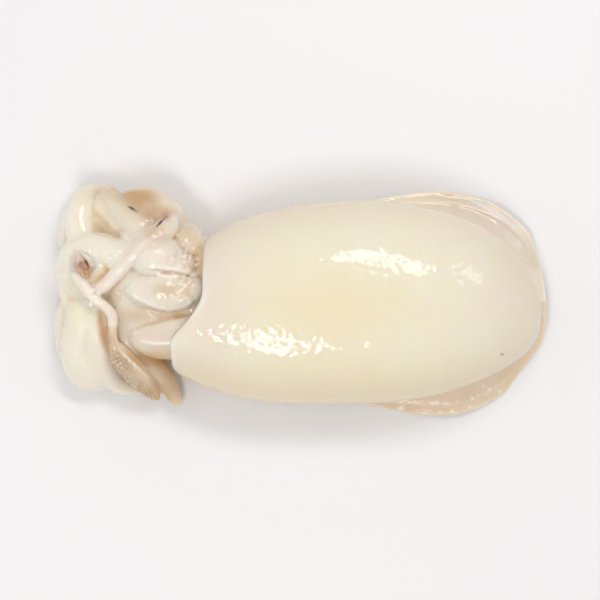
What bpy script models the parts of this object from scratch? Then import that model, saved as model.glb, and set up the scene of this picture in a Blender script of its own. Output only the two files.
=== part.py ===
"""A whole raw cuttlefish, cleaned and skinned, lying on its back with its arms folded in.

Metres, +Z up. The body runs along X, with the arms at -X and the tail at +X. The flat of the
back lies on Z = 0, and the belly, the funnel and the mouth look up.
"""

import math

import bmesh
import bpy
import numpy as np
from mathutils import Vector

MM = 0.001

# The mantle, a thick-walled sack: widest at WIDEST_X, open at the front, closed at the tail.
TAIL_X = 64.4 * MM
WIDEST_X = 18 * MM
FRONT_LENGTH = 52 * MM
HALF_WIDTH = 26.7 * MM
BELLY_HEIGHT = 30.5 * MM
SIDE_LEVEL = 13 * MM
FRONT_NARROWING = 12.5 * MM
FRONT_SIDE_SHIFT = 3.7 * MM
TAIL_SIDE_SHIFT = 3.8 * MM
TAIL_LEVEL_DROP = 6 * MM
BELLY_FRONT_DROP = 4.5 * MM
TAIL_SHARPNESS = 1.88
TAIL_BLUNTNESS = 2.18
REST_FLATTENING = 1.15
WALL_SHARE = 0.22
LIP_RADIUS = 2.3 * MM
LIP_STEPS = 6
MOUTH_DEPTH = 13 * MM
MOUTH_FLOOR_SHARES = (0.35, 0.8)
MOUTH_WALL_DEPTHS = (0.85, 0.5)

# The rim of the mantle's mouth: straight across on the +Y half, then sloping forward to the -Y side.
RIM_LEFT_X = -25.3 * MM
RIM_RIGHT_X = -33.6 * MM
RIM_MIDDLE_Y = -3 * MM
RIM_HALF_WIDTH = 18 * MM
RIM_SLOPE_START_Y = 3 * MM
RIM_SLOPE_LENGTH = 17 * MM
RIM_BACK_REACH = 2.5 * MM

# The fins, a leaf down each side, broad towards the tail, where a narrow rim joins them.
FIN_FRONT_X = -21 * MM
FIN_ROOT_ANGLE = math.radians(26)
FIN_ROOT_SHARE = 0.9
FIN_FRONT_WIDTH = 3.4 * MM
FIN_LEFT_WIDTH = 11 * MM
FIN_RIGHT_WIDTH = 11.4 * MM
FIN_RIM_WIDTH = 1.6 * MM
FIN_OPENING = 0.12
FIN_BROADEST = 0.68
FIN_SWELL = 0.24
FIN_CLOSED = 0.98
FIN_LEFT_CLOSING = 0.82
FIN_RIGHT_CLOSING = 0.8
FIN_ROOT_THICKNESS = 3.2 * MM
FIN_EDGE_THICKNESS = 1.2 * MM
FIN_EDGE_LEVEL = 1.3 * MM
FIN_STEEPEST = 0.9
FIN_BEND = 1.5
FIN_FRONT_FULLNESS = 0.4
FIN_FULL_AT = 0.1
FIN_WAVES = 7
FIN_WAVE_HEIGHT = 0.8 * MM

# Round masses of the head and funnel: centre, then half sizes along X, Y and Z, in millimetres.
MASSES = {
    "neck": ((-24, 1, 12), (14, 16, 7.8)),
    "head": ((-38, 6, 10), (14.5, 19, 10)),
    "left_eye_bulge": ((-41.5, 19.5, 9), (12, 10.8, 9)),
    "right_eye_bulge": ((-36, -6.5, 9), (11.5, 8.5, 9)),
    "crown": ((-54.5, 8, 9.5), (10, 10, 9)),
    "web": ((-54, 2.5, 5.5), (9, 23, 5.5)),
    "arm_web": ((-55.5, -12.5, 5.5), (7.6, 11, 5.8)),
    "arm_fold": ((-51.4, 21.6, 7), (6.4, 8, 6.4)),
    "shoulder": ((-30, 14.6, 10.5), (5.4, 6.5, 8)),
    "funnel_left": ((-37.4, 11.6, 17), (7.6, 6, 6.6)),
    "funnel_end": ((-32.2, 9.4, 16.8), (5, 4.6, 6.2)),
    "funnel_right": ((-34.2, 3.2, 16.8), (12, 5.6, 6.4)),
    "collar_fold": ((-36, -2.6, 13.4), (12.5, 5, 5.2)),
    "collar_tongue": ((-33.2, -8.8, 13.4), (12, 6.8, 6.8)),
}

# Arms: the root radius, then the points that the middle of each passes through, root to tip.
ARMS = {
    "upper": (
        4.5,
        (-52, 10, 12), (-57.2, 17, 12.8), (-57.7, 23, 11.4),
        (-56.6, 27.4, 7.8), (-51.4, 28.6, 3.8), (-46, 25.4, 2.2),
    ),
    "cheek": (
        4.3,
        (-37.5, 15, 16), (-42.6, 19.8, 16.2), (-47.5, 23.8, 12.6),
        (-51, 27.4, 8.4), (-53.2, 29.2, 5), (-56.2, 28.6, 2.6),
    ),
    "hooked": (
        4.7,
        (-45, 10.8, 16.8), (-51, 13.4, 15.8), (-57.2, 13.8, 14.2),
        (-60.8, 9.6, 12), (-60.8, 3, 10.6), (-59.4, -6, 9),
    ),
    "outer": (
        4.9,
        (-55.5, 2, 11), (-58, -6, 10.4), (-59.4, -13, 8.4),
        (-58.8, -19, 5.6), (-54.6, -21.8, 3.6), (-49, -20.6, 2.4),
    ),
    "inner": (
        4.9,
        (-52.5, 0, 11), (-53, -7, 10.6), (-53, -13.6, 8.8),
        (-50.8, -19.4, 6), (-47, -22.6, 3.6), (-42.6, -23.2, 2.2),
    ),
    "near": (
        5,
        (-46, -2, 10.4), (-45.4, -9, 9), (-42, -14.4, 7),
        (-38.2, -18.4, 5.8), (-35, -22.4, 4.8), (-32.4, -27.4, 3.4),
    ),
    "low_upper": (4.3, (-54.5, 9, 6.5), (-59.6, 14, 6), (-61.2, 20, 5), (-58.6, 25.4, 3.6), (-52.6, 26, 2.2)),
    "low_outer": (
        4.3,
        (-54.5, 2, 6.5), (-60.4, -2, 5.6), (-62, -8.6, 4.8), (-61.2, -15.4, 3.8), (-56.4, -20, 2.2),
    ),
}
ARM_TIP_RADIUS = 1.3
ARM_TAPER = 2.2
ARM_FLATNESS = 0.92
END_REACH = 0.75
END_NARROWING = 0.6

# Tentacles: the stalk's radius, the club's half width, then the points of the middle, root to tip.
TENTACLES = {
    "left_tentacle": (
        1.8, 3.1,
        (-56, 2.5, 15), (-51.4, 4, 18.2), (-47, 8.4, 19.2), (-42.6, 12.6, 20.6),
        (-38, 16.4, 20.4), (-34.4, 19.8, 17.8), (-32.8, 22.6, 12.4),
    ),
    "right_tentacle": (
        1.5, 3.4,
        (-58.8, 7, 17.6), (-56.2, 3.9, 18.8), (-53.2, 0.5, 18.2), (-50.2, -2.1, 17.4), (-49, -4.8, 16.8),
        (-49.2, -9, 15.6), (-47.6, -13.8, 13.6), (-43.6, -18.8, 10.6), (-37.8, -26, 4.4),
    ),
}
CLUB_HALF_THICKNESS = 2.1
CLUB_START = 0.52
CLUB_LEAN = 0.8
CLUB_FULLNESS = 0.7
CLUB_TIP_NARROWING = 0.55

# The lips, a ring round the mouth, which looks up out of the crown of arms.
LIPS_PLACE = (-56, 9.8, 17.8)
LIPS_RADIUS = 2.9
LIPS_THICKNESS = 1.1

MANTLE_AROUND = 40
MANTLE_ALONG = 25
FIN_ALONG = 41
FIN_ACROSS = 4
TUBE_AROUND = 10
TUBE_ALONG = 16
TENTACLE_ALONG = 28
SPHERE_AROUND = 18
SPHERE_ALONG = 11
LIPS_AROUND = 18
LIPS_ACROSS = 8
CURVE_STEPS = 16

FLESH_COLOUR = (0.86, 0.77, 0.61, 1.0)
FLESH_ROUGHNESS = 0.25


def tail_share(x):
    """How far x lies from the widest section to the tip of the tail, 0 to 1."""
    return min(max((x - WIDEST_X) / (TAIL_X - WIDEST_X), 0.0), 1.0)


def front_share(x):
    """How far x lies ahead of the widest section, about 1 at the furthest of the rim."""
    return max(WIDEST_X - x, 0.0) / FRONT_LENGTH


def mantle_section(x):
    """(middle y, side level z, half width, belly height above it, back depth below it) at x."""
    tail, front = tail_share(x), front_share(x)
    round_tail = (1 - tail**TAIL_SHARPNESS) ** (1 / TAIL_BLUNTNESS)
    half_width = (HALF_WIDTH - FRONT_NARROWING * front**3) * round_tail
    middle = -FRONT_SIDE_SHIFT * front**1.5 - TAIL_SIDE_SHIFT * tail**6
    level = SIDE_LEVEL - TAIL_LEVEL_DROP * tail**3
    above = (BELLY_HEIGHT - SIDE_LEVEL - BELLY_FRONT_DROP * front**2) * round_tail
    below = SIDE_LEVEL * (1 - tail**4) ** 0.5
    return middle, level, half_width, above, below


def mantle_point(x, angle, share=1.0):
    """A point of the section at x: angle 0 is the +Y side, 90 degrees the belly, and share 1 the skin."""
    middle, level, half_width, above, below = mantle_section(x)
    across, up = math.cos(angle), math.sin(angle)
    if up > 0:
        z = level + share * above * up
    else:
        z = level - share * min(REST_FLATTENING * below * -up, below, level)
    return Vector((x, middle + share * half_width * across, z))


def rim_x(angle):
    """Where the rim of the mantle's mouth lies at this angle: further forward on -Y and under the head."""
    y = RIM_MIDDLE_Y + RIM_HALF_WIDTH * math.cos(angle)
    slope = min(max((RIM_SLOPE_START_Y - y) / RIM_SLOPE_LENGTH, 0.0), 1.0)
    slope = slope**2 * (3 - 2 * slope)
    under = max(-math.sin(angle), 0.0)
    return RIM_LEFT_X + (RIM_RIGHT_X - RIM_LEFT_X) * slope - RIM_BACK_REACH * under**2


def loft(name, rings):
    """A closed mesh through rings of points, with a fan of triangles closing each end."""
    mesh = bmesh.new()
    rows = [[mesh.verts.new(point) for point in ring] for ring in rings]
    for row, following in zip(rows, rows[1:]):
        for i in range(len(row)):
            j = (i + 1) % len(row)
            mesh.faces.new((row[i], row[j], following[j], following[i]))
    for row in (rows[0], rows[-1]):
        middle = mesh.verts.new(sum((v.co for v in row), Vector()) / len(row))
        for i in range(len(row)):
            mesh.faces.new((row[i], row[(i + 1) % len(row)], middle))
    bmesh.ops.triangulate(mesh, faces=[f for f in mesh.faces if len(f.verts) > 3])
    bmesh.ops.recalc_face_normals(mesh, faces=mesh.faces)
    return finished(name, mesh)


def finished(name, mesh):
    """The object made from a bmesh, linked to the scene and shaded smooth."""
    data = bpy.data.meshes.new(name)
    mesh.to_mesh(data)
    mesh.free()
    data.shade_smooth()
    obj = bpy.data.objects.new(name, data)
    bpy.context.scene.collection.objects.link(obj)
    return obj


def mantle():
    """The sack: from the bottom of its mouth along the inner wall, round the lip and back to the tail."""
    angles = [2 * math.pi * i / MANTLE_AROUND for i in range(MANTLE_AROUND)]
    rings = []
    inner = 1 - WALL_SHARE
    for share in MOUTH_FLOOR_SHARES:
        rings.append([mantle_point(rim_x(a) + MOUTH_DEPTH, a, share * inner) for a in angles])
    for depth in MOUTH_WALL_DEPTHS:
        rings.append([mantle_point(rim_x(a) + depth * MOUTH_DEPTH, a, inner) for a in angles])
    for step in range(LIP_STEPS + 1):
        turn = math.pi * (step / LIP_STEPS - 0.5)
        share = 1 - WALL_SHARE / 2 + WALL_SHARE / 2 * math.sin(turn)
        back = LIP_RADIUS * (1 - math.cos(turn))
        rings.append([mantle_point(rim_x(a) + back, a, share) for a in angles])
    for step in range(1, MANTLE_ALONG):
        along = math.sin(0.5 * math.pi * step / MANTLE_ALONG)
        ring = []
        for a in angles:
            start = rim_x(a) + LIP_RADIUS
            ring.append(mantle_point(start + (TAIL_X - start) * along, a))
        rings.append(ring)
    return loft("mantle", rings)


def fin_width(along, left):
    """The fin's width, from its front end at 0 to the tail at 1: it swells, then closes to the narrow rim."""
    broad_width, closing_start = (
        (FIN_LEFT_WIDTH, FIN_LEFT_CLOSING) if left else (FIN_RIGHT_WIDTH, FIN_RIGHT_CLOSING)
    )
    opening = min(along / FIN_OPENING, 1.0)
    closing = min(max(0.0, (along - closing_start) / (FIN_CLOSED - closing_start)), 1.0)
    swell = math.exp(-(((along - FIN_BROADEST) / FIN_SWELL) ** 2))
    width = FIN_FRONT_WIDTH * opening + (broad_width - FIN_FRONT_WIDTH) * swell
    return width + (FIN_RIM_WIDTH - width) * closing


def fins():
    """Both fins as one leaf, whose section runs along the -Y side, round the tail and back along +Y."""
    right, left = [], []
    for step in range(FIN_ALONG):
        x = FIN_FRONT_X + (TAIL_X - FIN_FRONT_X) * math.sin(0.5 * math.pi * step / FIN_ALONG)
        right.append(mantle_point(x, math.pi + FIN_ROOT_ANGLE, FIN_ROOT_SHARE))
        left.append(mantle_point(x, -FIN_ROOT_ANGLE, FIN_ROOT_SHARE))
    roots = right + [mantle_point(TAIL_X, 0)] + left[::-1]
    lengths = np.cumsum([0.0] + [(b - a).length for a, b in zip(roots, roots[1:])])
    rings = []
    for step, root in enumerate(roots):
        on_left = step > FIN_ALONG
        to_tail = lengths[FIN_ALONG] if not on_left else lengths[-1] - lengths[FIN_ALONG]
        along = (lengths[step] if not on_left else lengths[-1] - lengths[step]) / to_tail
        ahead = roots[min(step + 1, len(roots) - 1)] - roots[max(step - 1, 0)]
        out = Vector((ahead.y, -ahead.x, 0)).normalized()
        width = fin_width(along, on_left)
        wave = FIN_WAVE_HEIGHT * math.sin(2 * math.pi * FIN_WAVES * lengths[step] / lengths[-1])
        # The leaf sinks from its root towards the resting plane, no steeper than FIN_STEEPEST.
        drop = min(root.z - FIN_EDGE_LEVEL - wave, FIN_STEEPEST * width)
        fullness = FIN_FRONT_FULLNESS + (1 - FIN_FRONT_FULLNESS) * min(along / FIN_FULL_AT, 1.0)
        upper, lower = [], []
        for step_out in range(FIN_ACROSS + 1):
            share = step_out / FIN_ACROSS
            thick = fullness * (FIN_ROOT_THICKNESS + (FIN_EDGE_THICKNESS - FIN_ROOT_THICKNESS) * share)
            middle = root + out * width * share
            middle.z = max(root.z - drop * (1 - (1 - share) ** FIN_BEND), thick / 2)
            upper.append(middle + Vector((0, 0, thick / 2)))
            lower.append(middle - Vector((0, 0, thick / 2)))
        rings.append(upper + lower[::-1])
    return loft("fins", rings)


def ellipsoid(name, centre, half_sizes):
    """A ball stretched to its three half sizes."""
    mesh = bmesh.new()
    bmesh.ops.create_uvsphere(mesh, u_segments=SPHERE_AROUND, v_segments=SPHERE_ALONG, radius=1.0)
    bmesh.ops.scale(mesh, vec=Vector(half_sizes) * MM, verts=mesh.verts)
    bmesh.ops.translate(mesh, vec=Vector(centre) * MM, verts=mesh.verts)
    for vert in mesh.verts:
        vert.co.z = max(vert.co.z, 0.0)
    return finished(name, mesh)


def smooth_path(points, count):
    """count + 1 points evenly spread along a Catmull-Rom curve through the given ones."""
    points = [np.array(point, float) for point in points]
    held = [2 * points[0] - points[1], *points, 2 * points[-1] - points[-2]]
    dense = []
    for a, b, c, d in zip(held, held[1:], held[2:], held[3:]):
        for t in np.linspace(0, 1, CURVE_STEPS, endpoint=False):
            curved = (2 * a - 5 * b + 4 * c - d) * t**2 + (3 * b - a - 3 * c + d) * t**3
            dense.append(0.5 * (2 * b + (c - a) * t + curved))
    dense = np.array(dense + [points[-1]])
    run = np.concatenate([[0], np.cumsum(np.linalg.norm(np.diff(dense, axis=0), axis=1))])
    at = np.linspace(0, run[-1], count + 1)
    return np.stack([np.interp(at, run, dense[:, k]) for k in range(3)], axis=1)


def tube(name, points, half_sizes):
    """A tube with rounded ends along points in millimetres.

    half_sizes gives its half width and half thickness at each share of the way, 0 to 1.
    """
    last = len(points) - 1
    rings = []
    for step, point in enumerate(points):
        ahead = Vector(points[min(step + 1, last)] - points[max(step - 1, 0)]).normalized()
        side = ahead.cross(Vector((0, 0, 1))).normalized()
        up = side.cross(ahead)
        half_width, half_thickness = half_sizes(step / last)
        # An end is rounded by one narrower ring beyond its last full one.
        slices = [(0.0, 1.0)]
        if step == 0:
            slices.insert(0, (-END_REACH, END_NARROWING))
        if step == last:
            slices.append((END_REACH, END_NARROWING))
        for reach, narrowing in slices:
            centre = Vector(point) + ahead * reach * half_thickness
            ring = []
            for i in range(TUBE_AROUND):
                turn = 2 * math.pi * i / TUBE_AROUND
                across = side * half_width * math.cos(turn) + up * half_thickness * math.sin(turn)
                place = centre + across * narrowing
                place.z = max(place.z, 0.0)
                ring.append(place * MM)
            rings.append(ring)
    return loft(name, rings)


def arm(name, root_radius, points):
    """A tapered arm with a blunt tip."""

    def half_sizes(along):
        radius = ARM_TIP_RADIUS + (root_radius - ARM_TIP_RADIUS) * (1 - along**ARM_TAPER)
        return radius, radius * ARM_FLATNESS

    return tube(name, smooth_path(points, TUBE_ALONG), half_sizes)


def tentacle(name, stalk_radius, club_half_width, points):
    """A thin stalk that ends in a flat club, widest half way along the club."""

    def half_sizes(along):
        club = max(0.0, (along - CLUB_START) / (1 - CLUB_START))
        swell = math.sin(math.pi * club**CLUB_LEAN) ** CLUB_FULLNESS if club > 0 else 0.0
        narrow = 1 - CLUB_TIP_NARROWING * club**4
        width = stalk_radius * narrow + (club_half_width - stalk_radius) * swell
        thickness = stalk_radius * narrow + (CLUB_HALF_THICKNESS - stalk_radius) * swell
        return width, thickness

    return tube(name, smooth_path(points, TENTACLE_ALONG), half_sizes)


def lips():
    """The ring of the lips round the mouth."""
    bpy.ops.mesh.primitive_torus_add(
        location=Vector(LIPS_PLACE) * MM,
        major_radius=LIPS_RADIUS * MM,
        minor_radius=LIPS_THICKNESS * MM,
        major_segments=LIPS_AROUND,
        minor_segments=LIPS_ACROSS,
    )
    ring = bpy.context.object
    ring.name = "lips"
    return ring


def flesh():
    """Raw cuttlefish flesh: ivory and wet."""
    material = bpy.data.materials.new("raw_flesh")
    material.use_nodes = True
    shader = material.node_tree.nodes["Principled BSDF"]
    shader.inputs["Base Color"].default_value = FLESH_COLOUR
    shader.inputs["Roughness"].default_value = FLESH_ROUGHNESS
    shader.inputs["Metallic"].default_value = 0.0
    return material


def fused(body, pieces):
    """One Boolean union of the body with the pieces, applied, with the pieces removed."""
    group = bpy.data.collections.new("pieces")
    bpy.context.scene.collection.children.link(group)
    for piece in pieces:
        piece.users_collection[0].objects.unlink(piece)
        group.objects.link(piece)
    union = body.modifiers.new("union", "BOOLEAN")
    union.operation = "UNION"
    union.operand_type = "COLLECTION"
    union.collection = group
    union.solver = "MANIFOLD"
    bpy.context.view_layer.update()
    graph = bpy.context.evaluated_depsgraph_get()
    joined = bpy.data.meshes.new_from_object(body.evaluated_get(graph))
    body.modifiers.clear()
    body.data = joined
    for piece in pieces:
        bpy.data.objects.remove(piece)
    bpy.data.collections.remove(group)
    return body


def centre_on_base(obj):
    """Moves the mesh so that the middle of its box's lower face is the origin."""
    points = np.array([v.co for v in obj.data.vertices])
    low, high = points.min(axis=0), points.max(axis=0)
    shift = Vector((-(low[0] + high[0]) / 2, -(low[1] + high[1]) / 2, -low[2]))
    for vert in obj.data.vertices:
        vert.co += shift


def main():
    for obj in list(bpy.data.objects):
        bpy.data.objects.remove(obj)
    body = mantle()
    pieces = [fins()]
    pieces += [ellipsoid(name, *place) for name, place in MASSES.items()]
    pieces += [arm(f"{name}_arm", root_radius, path) for name, (root_radius, *path) in ARMS.items()]
    for name, (stalk_radius, club_half_width, *path) in TENTACLES.items():
        pieces.append(tentacle(name, stalk_radius, club_half_width, path))
    pieces.append(lips())
    whole = fused(body, pieces)
    whole.name = whole.data.name = "cuttlefish"
    centre_on_base(whole)
    whole.data.materials.clear()
    whole.data.materials.append(flesh())
    whole.data.shade_smooth()


main()
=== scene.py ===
"""Looks of a whole raw cuttlefish, cleaned and skinned, lying on its back.

Every form is worked out in millimetres in the animal's own frame: arms at -X, tail at +X, belly up.
The mantle, the fins, the tentacles, the mouth and the suckers are surfaces of two parameters. The head,
the funnel and the arms are such surfaces run together into one skin, then smoothed and wrinkled.

What is drawn on a skin, as relief or as colour, is a table of marks. A mark is a soft spot, given as its
strength, middle and reach along X, Y and Z, or a stroke seen from above, given as strength, line and width.
"""

import bpy
import numpy as np
from mathutils import Matrix, Vector


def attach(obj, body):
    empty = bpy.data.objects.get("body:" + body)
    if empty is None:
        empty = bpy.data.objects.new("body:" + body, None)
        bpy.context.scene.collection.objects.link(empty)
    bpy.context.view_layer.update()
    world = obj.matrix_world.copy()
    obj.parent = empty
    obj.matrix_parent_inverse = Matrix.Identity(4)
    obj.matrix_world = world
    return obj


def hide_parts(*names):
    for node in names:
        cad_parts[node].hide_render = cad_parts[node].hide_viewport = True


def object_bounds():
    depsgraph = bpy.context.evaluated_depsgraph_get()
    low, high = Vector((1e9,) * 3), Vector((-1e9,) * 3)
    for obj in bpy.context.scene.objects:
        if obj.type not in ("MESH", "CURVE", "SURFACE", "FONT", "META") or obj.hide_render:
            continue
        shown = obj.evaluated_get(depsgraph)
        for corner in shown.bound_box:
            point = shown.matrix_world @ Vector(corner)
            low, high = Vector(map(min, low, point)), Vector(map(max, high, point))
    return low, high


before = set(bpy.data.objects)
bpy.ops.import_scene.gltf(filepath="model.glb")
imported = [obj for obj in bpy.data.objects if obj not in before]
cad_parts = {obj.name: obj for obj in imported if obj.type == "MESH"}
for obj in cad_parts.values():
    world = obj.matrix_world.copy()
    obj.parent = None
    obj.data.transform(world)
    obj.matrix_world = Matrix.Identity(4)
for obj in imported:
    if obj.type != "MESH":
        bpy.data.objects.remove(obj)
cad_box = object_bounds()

MM = 0.001
NODE = "cuttlefish"

# Where the shared frame's origin, the middle of the solid's lower face, lies in the animal's frame.
BOX_MIDDLE = np.array([0.179, 0.439, 0.0])

# The mantle, as the solid has it.
TAIL_X = 64.4
WIDEST_X = 18
FRONT_LENGTH = 52
HALF_WIDTH = 26.7
BELLY_HEIGHT = 30.5
SIDE_LEVEL = 13
FRONT_NARROWING = 12.5
FRONT_SIDE_SHIFT = 3.7
TAIL_SIDE_SHIFT = 3.8
TAIL_LEVEL_DROP = 6
BELLY_FRONT_DROP = 4.5
TAIL_SHARPNESS = 1.88
TAIL_BLUNTNESS = 2.18
REST_FLATTENING = 1.15
WALL_SHARE = 0.22
LIP_RADIUS = 2.3
MOUTH_DEPTH = 13
RIM_LEFT_X = -25.3
RIM_RIGHT_X = -33.6
RIM_MIDDLE_Y = -3
RIM_HALF_WIDTH = 18
RIM_SLOPE_START_Y = 3
RIM_SLOPE_LENGTH = 17
RIM_BACK_REACH = 2.5

# The mantle's rings: the floor of its mouth, the wall inside, the lip, then the outside up to the tail.
MANTLE_AROUND = 320
MOUTH_FLOOR_SHARES = (0.3, 0.6, 0.85)
MOUTH_WALL_DEPTHS = np.linspace(0.95, 0.3, 12)
LIP_TURNS = np.linspace(-0.5, 0.5, 15) * np.pi
MANTLE_ALONG = 240
TAIL_CROWDING = 1.6

# The fins, as the solid has them.
FIN_FRONT_X = -21
FIN_ROOT_ANGLE = np.radians(26)
FIN_ROOT_SHARE = 0.9
FIN_FRONT_WIDTH = 3.4
FIN_LEFT_WIDTH = 11
FIN_RIGHT_WIDTH = 11.4
FIN_RIM_WIDTH = 1.6
FIN_OPENING = 0.12
FIN_BROADEST = 0.68
FIN_SWELL = 0.24
FIN_CLOSED = 0.98
FIN_LEFT_CLOSING = 0.82
FIN_RIGHT_CLOSING = 0.8
FIN_ROOT_THICKNESS = 3.2
FIN_EDGE_THICKNESS = 1.2
FIN_EDGE_LEVEL = 1.3
FIN_STEEPEST = 0.9
FIN_BEND = 1.5
FIN_FRONT_FULLNESS = 0.4
FIN_FULL_AT = 0.1
FIN_WAVES = 7
FIN_WAVE_HEIGHT = 0.8

# What the scene adds to the fins, and the counts of their sections and of the points across one.
FIN_RUFFLE_HEIGHT = 0.35
FIN_FOLD_HEIGHT = 0.35
FIN_FOLD_PLACE = 0.8
FIN_FOLD_WIDTH = 0.055
FIN_ALONG = 260
FIN_ACROSS = 30

# Round masses of the head and funnel: centre, then half sizes along X, Y and Z.
MASSES = {
    "neck": ((-24, 1, 12), (14, 16, 7.8)),
    "head": ((-38, 6, 10), (14.5, 19, 10)),
    "left_eye_bulge": ((-41.5, 19.5, 9), (12, 10.8, 9)),
    "right_eye_bulge": ((-36, -6.5, 9), (11.5, 8.5, 9)),
    "crown": ((-54.5, 8, 9.5), (10, 10, 9)),
    "web": ((-54, 2.5, 5.5), (9, 23, 5.5)),
    "arm_web": ((-55.5, -12.5, 5.5), (7.6, 11, 5.8)),
    "arm_fold": ((-51.4, 21.6, 7), (6.4, 8, 6.4)),
    "shoulder": ((-30, 14.6, 10.5), (5.4, 6.5, 8)),
    "funnel_left": ((-37.4, 11.6, 17), (7.6, 6, 6.6)),
    "funnel_end": ((-32.2, 9.4, 16.8), (5, 4.6, 6.2)),
    "funnel_right": ((-34.2, 3.2, 16.8), (12, 5.6, 6.4)),
    "collar_fold": ((-36, -2.6, 13.4), (12.5, 5, 5.2)),
    "collar_tongue": ((-33.2, -8.8, 13.4), (12, 6.8, 6.8)),
}

# A little flesh fills the joint of the two upper arms and the left tentacle.
JOINT_FILL = ((-44.4, 15.8, 16.6), (3.6, 3.2, 3))

# Arms: the root radius, then the points that the middle of each passes through, root to tip.
ARMS = {
    "upper": (
        4.5,
        (-52, 10, 12), (-57.2, 17, 12.8), (-57.7, 23, 11.4),
        (-56.6, 27.4, 7.8), (-51.4, 28.6, 3.8), (-46, 25.4, 2.2),
    ),
    "cheek": (
        4.3,
        (-37.5, 15, 16), (-42.6, 19.8, 16.2), (-47.5, 23.8, 12.6),
        (-51, 27.4, 8.4), (-53.2, 29.2, 5), (-56.2, 28.6, 2.6),
    ),
    "hooked": (
        4.7,
        (-45, 10.8, 16.8), (-51, 13.4, 15.8), (-57.2, 13.8, 14.2),
        (-60.8, 9.6, 12), (-60.8, 3, 10.6), (-59.4, -6, 9),
    ),
    "outer": (
        4.9,
        (-55.5, 2, 11), (-58, -6, 10.4), (-59.4, -13, 8.4),
        (-58.8, -19, 5.6), (-54.6, -21.8, 3.6), (-49, -20.6, 2.4),
    ),
    "inner": (
        4.9,
        (-52.5, 0, 11), (-53, -7, 10.6), (-53, -13.6, 8.8),
        (-50.8, -19.4, 6), (-47, -22.6, 3.6), (-42.6, -23.2, 2.2),
    ),
    "near": (
        5,
        (-46, -2, 10.4), (-45.4, -9, 9), (-42, -14.4, 7),
        (-38.2, -18.4, 5.8), (-35, -22.4, 4.8), (-32.4, -27.4, 3.4),
    ),
    "low_upper": (4.3, (-54.5, 9, 6.5), (-59.6, 14, 6), (-61.2, 20, 5), (-58.6, 25.4, 3.6), (-52.6, 26, 2.2)),
    "low_outer": (
        4.3,
        (-54.5, 2, 6.5), (-60.4, -2, 5.6), (-62, -8.6, 4.8), (-61.2, -15.4, 3.8), (-56.4, -20, 2.2),
    ),
}
ARM_TIP_RADIUS = 1.3
ARM_TAPER = 2.2
ARM_FLATNESS = 0.92

# Tentacles: the stalk's radius, the club's half width, then the points of the middle, root to tip.
TENTACLES = {
    "left_tentacle": (
        1.8, 3.1,
        (-56, 2.5, 15), (-51.4, 4, 18.2), (-47, 8.4, 19.2), (-42.6, 12.6, 20.6),
        (-38, 16.4, 20.4), (-34.4, 19.8, 17.8), (-32.8, 22.6, 12.4),
    ),
    "right_tentacle": (
        1.5, 3.4,
        (-58.8, 7, 17.6), (-56.2, 3.9, 18.8), (-53.2, 0.5, 18.2), (-50.2, -2.1, 17.4), (-49, -4.8, 16.8),
        (-49.2, -9, 15.6), (-47.6, -13.8, 13.6), (-43.6, -18.8, 10.6), (-37.8, -26, 4.4),
    ),
}
CLUB_HALF_THICKNESS = 2.1
CLUB_START = 0.52
CLUB_LEAN = 0.8
CLUB_FULLNESS = 0.7
CLUB_TIP_NARROWING = 0.55
CLUB_PATH = TENTACLES["right_tentacle"][7:]
TENTACLE_RINGS = 160

# Tubes: how finely their paths are followed and searched, how far the round ends reach past them, and over
# how many radii the ends close.
CURVE_STEPS = 24
NEAREST_STEPS = 60
TUBE_END_REACH = 0.7
TUBE_CLOSING = 1.2

# The one skin of head and arms: the size of its faces, then how it is eased without loss.
SKIN_VOXEL = 0.34
SKIN_ROUNDS = 6
EASE_IN = 0.5
EASE_OUT = -0.47

# Rounds of easing that flatten pressed arms, web every crease or a joint, heal one over, and show how deep
# fine and broad creases are.
ROUNDS = {"pressed": 50, "creases": 16, "webs": 160, "healed": 90, "fine": 12, "broad": 120}

# Suckers: their reach along the tentacle, rows and columns, the least and largest radius, then in degrees
# round the club where the columns lie, their spacing, the shift of every other row and how far a cup strays.
# A cup's outline runs from its foot over the rim and into it: the shares of its radius outward and up.
SUCKER_REACH = (CLUB_START - 0.04, 0.94)
SUCKER_ROWS = 19
SUCKER_COLUMNS = 4
SUCKER_RADII = (0.3, 0.54)
SUCKER_FACING = 124
SUCKER_SPACING = 24
SUCKER_STAGGER = (-7, 6)
SUCKER_STRAY = 10
SUCKER_OUTLINE = np.array(
    [(0.9, -0.8), (1.0, -0.2), (0.95, 0.08), (0.8, 0.2), (0.6, 0.18), (0.4, 0.02), (0.15, -0.06)]
)

# The lips: their place, how they are stretched along X and Y, and the radius of their opening.
LIPS_PLACE = np.array([-56, 9.8, 17.8])
LIPS_STRETCH = (0.95, 1.08)
LIPS_RADIUS = 4.2
LIPS_GATHERS = 15

# The mouth: half sizes along X and Y, the height of its mound, and how deep its foot stands in the lips.
MOUTH_HALF_LENGTH = 3.8
MOUTH_HALF_WIDTH = 4.2
MOUTH_MOUND = 0.8
MOUTH_LEVEL = 0.3
MOUTH_FOOT = 4

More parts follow.
